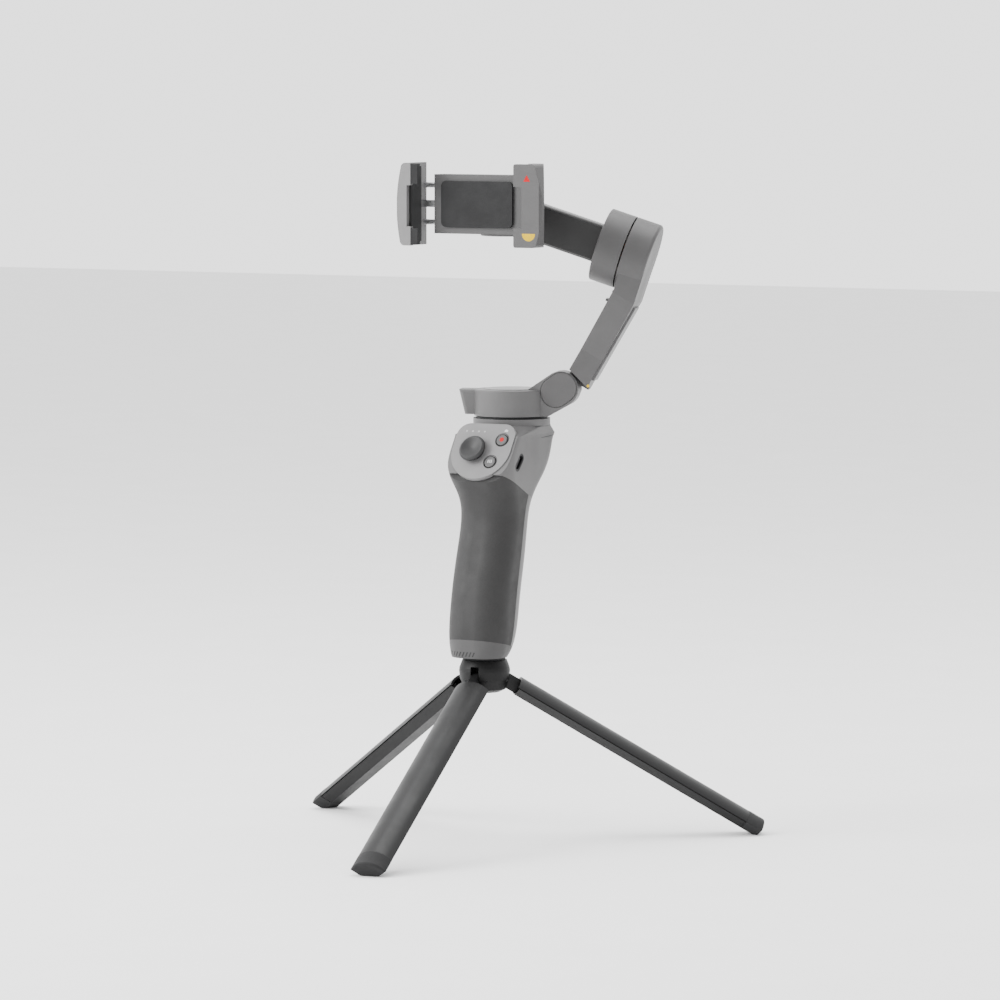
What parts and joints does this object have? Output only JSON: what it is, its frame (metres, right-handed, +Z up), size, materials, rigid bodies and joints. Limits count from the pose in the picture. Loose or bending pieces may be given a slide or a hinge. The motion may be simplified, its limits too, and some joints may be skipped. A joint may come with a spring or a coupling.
{
  "type": "gimbal stabilizer",
  "caption": "Handheld phone stabiliser with a tilted grip, folding arm, pan, roll and tilt motors and a sprung clamp, standing on a folding table tripod.",
  "frame": {"origin": "on the table plane, below the middle of the bounding box in X and Y", "axes": "+X to the user's right, +Y away from the user, +Z up"},
  "size_m": [0.2701, 0.249, 0.3665],
  "materials": {
    "light_shell": "satin light grey",
    "panel_face": "fine matte light grey",
    "arm_shell": "satin mid grey",
    "grip_rubber": "soft-touch dark grey",
    "spine": "satin light grey",
    "inner_frame": "black glass-filled plastic",
    "pad_rubber": "ribbed dark rubber",
    "tripod_shell": "dark satin",
    "tripod_rail": "dark grey satin",
    "foot_rubber": "matte black",
    "steel": "turned",
    "brass_insert": "turned",
    "button": "satin grey",
    "stick": "fine matte black",
    "led": "clear light guide",
    "circuit": "solder mask",
    "cell_wrap": "shrink sleeve",
    "port_metal": "satin",
    "winding": "enamelled winding under resin"
  },
  "bodies": {
    "handle": {"hub_crown": "tripod_shell", "hub_base": "tripod_shell", "hub_top_pad": "pad_rubber", "tripod_stud": "steel", "leg_hinge_pins": "steel", "base_cap": "light_shell", "threaded_insert": "brass_insert", "grip_sleeve": "grip_rubber", "spine_cover": "spine", "grip_core": "inner_frame", "head_shell": "light_shell", "control_panel": "panel_face", "port_cover": "light_shell", "usb_c_port": "port_metal", "status_lights": "led", "control_board": "circuit", "battery_cell": "cell_wrap", "pan_base_plate": "inner_frame", "pan_stator": "winding", "pan_bearings": "steel"},
    "joystick_ring": {"joystick_ring": "stick"},
    "joystick": {"joystick": "stick"},
    "record_button": {"record_button": "button"},
    "mode_button": {"mode_button": "button"},
    "zoom_slider": {"zoom_slider": "button"},
    "trigger": {"trigger": "button"},
    "pan_stage": {"pan_housing": "arm_shell", "pan_lid": "light_shell", "pan_shaft": "steel", "hinge_cover": "light_shell", "hinge_pin": "steel"},
    "arm": {"long_arm": "arm_shell", "arm_back_cover": "spine", "roll_stator": "winding", "roll_bearings": "steel"},
    "roll_stage": {"roll_housing": "arm_shell", "roll_shaft": "steel", "roll_arm": "arm_shell", "roll_arm_cover": "inner_frame", "tilt_housing": "arm_shell", "tilt_stator": "winding", "tilt_bearings": "steel"},
    "tilt_stage": {"tilt_rotor": "arm_shell", "clamp_body": "light_shell", "clamp_rest_pad": "pad_rubber", "fixed_jaw": "light_shell", "fixed_jaw_pad": "pad_rubber", "clamp_spring": "steel"},
    "jaw": {"moving_jaw": "light_shell", "moving_jaw_pads": "pad_rubber", "jaw_guide_rods": "steel"},
    "leg_1": {"leg_shell_1": "tripod_shell", "leg_rail_1": "tripod_rail", "leg_foot_1": "foot_rubber"},
    "leg_2": {"leg_shell_2": "tripod_shell", "leg_rail_2": "tripod_rail", "leg_foot_2": "foot_rubber"},
    "leg_3": {"leg_shell_3": "tripod_shell", "leg_rail_3": "tripod_rail", "leg_foot_3": "foot_rubber"}
  },
  "joints": [
    {"name": "leg_1_fold", "type": "hinge", "parent": "handle", "child": "leg_1", "pos_m": [0.01511, 0.03425, 0.0872], "axis": [-0.5835, 0.8121, 0], "range_deg": [0, 57]},
    {"name": "leg_2_fold", "type": "hinge", "parent": "handle", "child": "leg_2", "pos_m": [-0.00299, 0.03244, 0.0872], "axis": [-0.4115, -0.9114, 0], "range_deg": [0, 57]},
    {"name": "leg_3_fold", "type": "hinge", "parent": "handle", "child": "leg_3", "pos_m": [0.00762, 0.01767, 0.0872], "axis": [0.9951, 0.0993, 0], "range_deg": [0, 57]},
    {"name": "joystick_up_down", "type": "hinge", "parent": "handle", "child": "joystick_ring", "pos_m": [0.00278, 0.03138, 0.20619], "axis": [1, 0, 0], "range_deg": [-8, 8], "stiffness_Nm_per_rad": 0.02},
    {"name": "joystick_left_right", "type": "hinge", "parent": "joystick_ring", "child": "joystick", "pos_m": [0.00278, 0.03138, 0.20619], "axis": [0, 0.5446, 0.8387], "range_deg": [-8, 8], "stiffness_Nm_per_rad": 0.02},
    {"name": "record_press", "type": "slide", "parent": "handle", "child": "record_button", "axis": [0, 0.8387, -0.5446], "range_m": [0, 0.0004], "stiffness_N_per_m": 400, "springref_m": -0.0003},
    {"name": "mode_press", "type": "slide", "parent": "handle", "child": "mode_button", "axis": [0, 0.8387, -0.5446], "range_m": [0, 0.0004], "stiffness_N_per_m": 400, "springref_m": -0.0003},
    {"name": "zoom_slide", "type": "slide", "parent": "handle", "child": "zoom_slider", "axis": [0, 0.5446, 0.8387], "range_m": [-0.0026, 0.0026], "stiffness_N_per_m": 200},
    {"name": "trigger_pull", "type": "hinge", "parent": "handle", "child": "trigger", "pos_m": [0.00658, 0.07312, 0.2117], "axis": [-1, 0, 0], "range_deg": [0, 6], "stiffness_Nm_per_rad": 0.08, "springref_deg": -3.44},
    {"name": "pan", "type": "hinge", "parent": "handle", "child": "pan_stage", "pos_m": [0.00658, 0.05832, 0.243], "axis": [0, 0, 1], "range_deg": [-162, 170]},
    {"name": "arm_fold", "type": "hinge", "parent": "pan_stage", "child": "arm", "pos_m": [0.03393, 0.06827, 0.2442], "axis": [0.342, -0.9397, 0], "range_deg": [-104, 0]},
    {"name": "roll", "type": "hinge", "parent": "arm", "child": "roll_stage", "pos_m": [0.06569, 0.07983, 0.3177], "axis": [0.8911, 0.3243, -0.3173], "range_deg": [-175, 162]},
    {"name": "tilt", "type": "hinge", "parent": "roll_stage", "child": "tilt_stage", "pos_m": [0.00509, 0.05778, 0.3412], "axis": [0, 0, 1], "range_deg": [-165, 33]},
    {"name": "jaw_slide", "type": "slide", "parent": "tilt_stage", "child": "jaw", "axis": [-1, 0, 0], "range_m": [0, 0.017], "stiffness_N_per_m": 150, "springref_m": -0.03}
  ]
}
